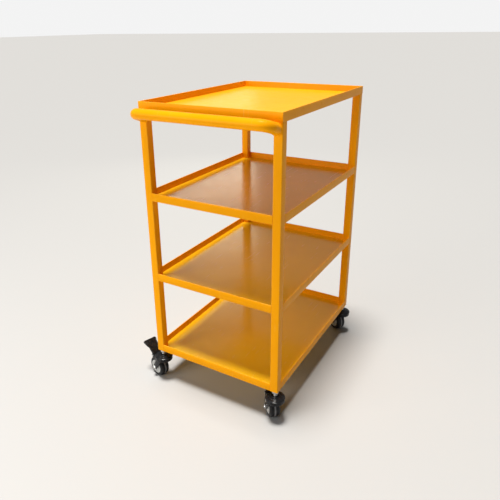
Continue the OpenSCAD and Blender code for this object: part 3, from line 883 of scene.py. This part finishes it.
def fork_crown():
    shaft, inner_r, skirt = stem_r + 0.1 * MM, crown_r - leg_t, crown_base + 4 * MM
    points = [(shaft, crown_top - leg_t), (inner_r, crown_top - leg_t), (inner_r, skirt), (crown_r, skirt),
              (crown_r, crown_top - 1 * MM), (crown_r - 2 * MM, crown_top), (shaft, crown_top)]
    return turn_round(outline(points, {1: 1 * MM, 3: 0.8 * MM, 4: 1.2 * MM, 5: 0.8 * MM}, 3))


def fork_web():
    """Curved plate between the legs, from above the axle forwards, clear of tyre and shoe."""
    clear = wheel_r + 1.6 * MM
    above, forward = 90, 128
    axle = (trail, wheel_r)
    points = arc(axle, clear, above, forward, 10) + arc(axle, clear + 2 * MM, forward, above, 10)
    bm = push(outline(points), 2 * leg_in + 0.4 * MM)
    return soften(bm, 0.4 * MM, 2, 50)


def fork(eared):
    legs = []
    for hand in (-1, 1):
        leg = fork_leg(eared)
        leg.transform(Matrix.Translation((0, hand * (leg_in + leg_t / 2), 0)))
        legs.append(leg)
    return join(fork_crown(), fork_web(), *legs)


# %% [markdown]
# ### Wheel
# The light hub is a turned dish with a boss that keeps it centred between the legs. The tyre
# is moulded round it with soft shoulders and a fine groove on each side, and a grey band is
# let into the middle of the tread.


# %% Wheel
def wheel_hub():
    boss, cone = axle_r + 5 * MM, axle_r + 6.2 * MM
    near = [(axle_r + 0.1 * MM, -hub_half), (boss, -hub_half), (cone, -tyre_half + 3.8 * MM),
            (rim_r - 6.2 * MM, -tyre_half + 2.6 * MM), (rim_r - 4 * MM, -tyre_half + 0.2 * MM),
            (rim_r, -tyre_half)]
    points = near + [(x, -z) for x, z in reversed(near)]
    rounds = {1: 0.8 * MM, 2: 1.4 * MM, 3: 1.4 * MM, 4: 0.9 * MM,
              7: 0.9 * MM, 8: 1.4 * MM, 9: 1.4 * MM, 10: 0.8 * MM}
    return on_axle(turn_round(outline(points, rounds, 3), 72))


def tyre():
    """Domed tread: a flat side wall, a wide round shoulder, and a groove for the band."""
    half, round_r, band, groove = tyre_half, 7 * MM, 2.5 * MM, 0.5 * MM
    wall = wheel_r - round_r
    near = [(rim_r, -half), (wall - 1.6 * MM, -half), (wall - 1.1 * MM, -half + 0.5 * MM),
            (wall - 0.4 * MM, -half)]
    near += [(wall + round_r * math.sin(t), -half + round_r - round_r * math.cos(t))
             for t in (math.radians(a) for a in range(6, 91, 12))]
    near += [(wheel_r, -band - groove), (wheel_r - groove, -band), (wheel_r - 2 * MM, -band)]
    points = near + [(x, -z) for x, z in reversed(near)]
    return on_axle(turn_round(outline(points), 96))


def tyre_band():
    half = 2.5 * MM
    points = [(wheel_r - 2 * MM, -half), (wheel_r - 0.3 * MM, -half), (wheel_r - 0.05 * MM, 0),
              (wheel_r - 0.3 * MM, half), (wheel_r - 2 * MM, half)]
    return on_axle(turn_round(outline(points, {2: 0.8 * MM}, 3), 96))


def axle_bolt():
    reach_out = leg_in + leg_t
    head = hexagon_nut(12.8 * MM, 5.6 * MM)
    head.transform(Matrix.Translation((0, 0, reach_out + 2.8 * MM)))
    nut = hexagon_nut(12.8 * MM, 5.6 * MM)
    nut.transform(Matrix.Translation((0, 0, -reach_out - 2.8 * MM)))
    low, high = -reach_out - 7.4 * MM, reach_out + 1 * MM
    points = [(0, low), (axle_r - 0.6 * MM, low), (axle_r, low + 0.6 * MM), (axle_r, high), (0, high)]
    return on_axle(join(turn_round(outline(points), 32), head, nut))


# %% [markdown]
# ### Brake pedal
# The pedal is pressed plate that flares towards the toe, with a raised rim along each flared
# edge, grip ribs across the tip and cheeks down its sides that turn on the pin. A pad between
# the cheeks meets the tyre when the pedal is trodden down. The pedal is drawn about the pin
# with the toe along +X, then raised.

# %% Brake pedal, shoe and pin
plate_t = 3 * MM
tip_x = trail + wheel_r + 24 * MM
tip_z = frame_base - 7 * MM
pedal_len = math.hypot(tip_x - pin_x, tip_z - pin_z)
pedal_up = math.atan2(tip_z - pin_z, tip_x - pin_x)
neck_half, toe_half = 17 * MM, 25 * MM
BRAKE_TURN = 20


def raise_pedal(bm):
    bm.transform(Matrix.Translation((pin_x, 0, pin_z)) @ Matrix.Rotation(-pedal_up, 4, "Y"))
    return bm


def brake_pedal():
    flare = pedal_len * 0.42
    side = [(-1 * MM, -neck_half), (flare, -neck_half), (pedal_len * 0.72, -toe_half * 0.86),
            (pedal_len - 3 * MM, -toe_half), (pedal_len, -toe_half + 6 * MM)]
    points = side + [(x, -y) for x, y in reversed(side)]
    rounds = {1: 7 * MM, 2: 9 * MM, 3: 2.5 * MM, 4: 2.5 * MM, 5: 2.5 * MM, 6: 2.5 * MM, 7: 9 * MM, 8: 7 * MM}
    plate = push(outline(points, rounds, 4), plate_t)
    lay_flat = Matrix.Rotation(math.radians(90), 4, "X")
    plate.transform(Matrix.Translation((0, 0, eye_r - plate_t / 2)) @ lay_flat)
    parts = [soften(plate, 0.8 * MM, 2, 50)]
    for hand in (-1, 1):
        rim = bmesh.new()
        bmesh.ops.create_cube(rim, size=1)
        start = Vector((flare, hand * (neck_half - 1.6 * MM), 0))
        end = Vector((pedal_len - 7 * MM, hand * (toe_half - 2 * MM), 0))
        bmesh.ops.scale(rim, verts=rim.verts[:], vec=((end - start).length, 2 * MM, 1.6 * MM))
        soften(rim, 0.6 * MM, 2)
        swing = Matrix.Rotation(math.atan2(end.y - start.y, end.x - start.x), 4, "Z")
        rim.transform(Matrix.Translation((start + end) / 2 + Vector((0, 0, eye_r + 0.4 * MM))) @ swing)
        parts.append(rim)
    for i in range(4):
        rib = bmesh.new()
        bmesh.ops.create_cube(rib, size=1)
        bmesh.ops.scale(rib, verts=rib.verts[:], vec=(1.8 * MM, 2 * toe_half - (11 + 3.5 * i) * MM, 1.4 * MM))
        soften(rib, 0.5 * MM, 2)
        rib.transform(Matrix.Translation((pedal_len - (6 + 4.4 * i) * MM, 0, eye_r + 0.3 * MM)))
        parts.append(rib)
    cheek_r = eye_r - 1 * MM
    under = eye_r - plate_t
    for hand in (-1, 1):
        nose = (eye_r + 4 * MM, -cheek_r + 2 * MM)
        points = [(-cheek_r * 0.6, under), (pedal_len * 0.8, under), nose]
        points += arc((0, 0), cheek_r, touch(nose, (0, 0), cheek_r, -1), -180, 8)
        cheek = soften(push(outline(points), 2.5 * MM), 0.6 * MM, 2, 50)
        cheek.transform(Matrix.Translation((0, hand * (neck_half - 1.25 * MM), 0)))
        parts.append(cheek)
    return raise_pedal(join(*parts))


def brake_shoe():
    """Cam round the pin; its face follows the tyre as it stands when the pedal is down."""
    lean = math.atan2(pin_x - trail, pin_z - wheel_r)
    drop = math.hypot(pin_x - trail, pin_z - wheel_r)
    face_r = wheel_r + 0.5 * MM
    run = 8 * MM
    face_end = math.degrees(math.acos(run / face_r))
    eye = eye_r - 1 * MM
    points = arc((0, -drop), face_r, 90, face_end, 6)
    points += [(run, -1 * MM)] + arc((0, 0), eye, 20, 180, 12) + [(-eye, -1 * MM)]
    pad = push(outline(points), 2 * (neck_half - 2.6 * MM))
    swing = math.radians(BRAKE_TURN) - lean
    plate_up = pedal_up - swing
    normal = Vector((-math.sin(plate_up), 0, math.cos(plate_up)))
    made = bmesh.ops.bisect_plane(pad, geom=pad.verts[:] + pad.edges[:] + pad.faces[:], dist=1e-7,
                                  plane_co=normal * (eye_r - plate_t), plane_no=normal, clear_outer=True)
    bmesh.ops.holes_fill(pad, edges=[e for e in pad.edges if e.is_boundary], sides=0)
    soften(pad, 0.5 * MM, 2, 50)
    pad.transform(Matrix.Translation((pin_x, 0, pin_z)) @ Matrix.Rotation(-swing, 4, "Y"))
    return pad


def brake_pin():
    """Plain pin with the same small chamfer at both ends."""
    half = leg_in + leg_t + 1.4 * MM
    points = [(0, -half), (pin_r - 0.5 * MM, -half), (pin_r, -half + 0.5 * MM), (pin_r, half - 0.5 * MM),
              (pin_r - 0.5 * MM, half), (0, half)]
    bm = turn_round(outline(points), 32)
    bm.transform(Matrix.Translation((pin_x, 0, pin_z)) @ Matrix.Rotation(math.radians(90), 4, "X"))
    return bm


# %% Build the four castors
for corner in CORNERS:
    braked = corner.startswith("front")
    swivel, wheel = f"{corner}_swivel", f"{corner}_wheel"
    place = castor_place(corner)
    kit = [("fork_plates", fork(braked), "castor_black", swivel, "fork"),
           ("axle_bolt", axle_bolt(), "zinc_steel", swivel, "axle"),
           ("hub_dish", wheel_hub(), "hub_plastic", wheel, "wheel_hub"),
           ("tyre_tread", tyre(), "tyre_rubber", wheel, "tyre"),
           ("tread_band", tyre_band(), "band_rubber", wheel, "tyre_band")]
    if braked:
        pedal = f"{corner}_pedal"
        kit += [("pedal_plate", brake_pedal(), "castor_black", pedal, "brake_pedal"),
                ("shoe_pad", brake_shoe(), "shoe_rubber", pedal, "brake_shoe"),
                ("pedal_pin", brake_pin(), "zinc_steel", swivel, "brake_pin")]
    for label, part, slot, body, node in kit:
        part.transform(place)
        finish_piece(f"{corner}_{label}", part, slot, body, [f"{corner}_{node}"])

# %% [markdown]
# ## What stays as it was packed
# The bearing balls and the inserts inside the posts are already right in shape, so they only
# get their steel.

# %% Finish the parts that are kept
for name in ["post_inserts"] + [f"{corner}_balls" for corner in CORNERS]:
    mesh = frame["nodes"][name].data
    mesh.materials.clear()
    mesh.materials.append(ZINC if name == "post_inserts" else BEARING)
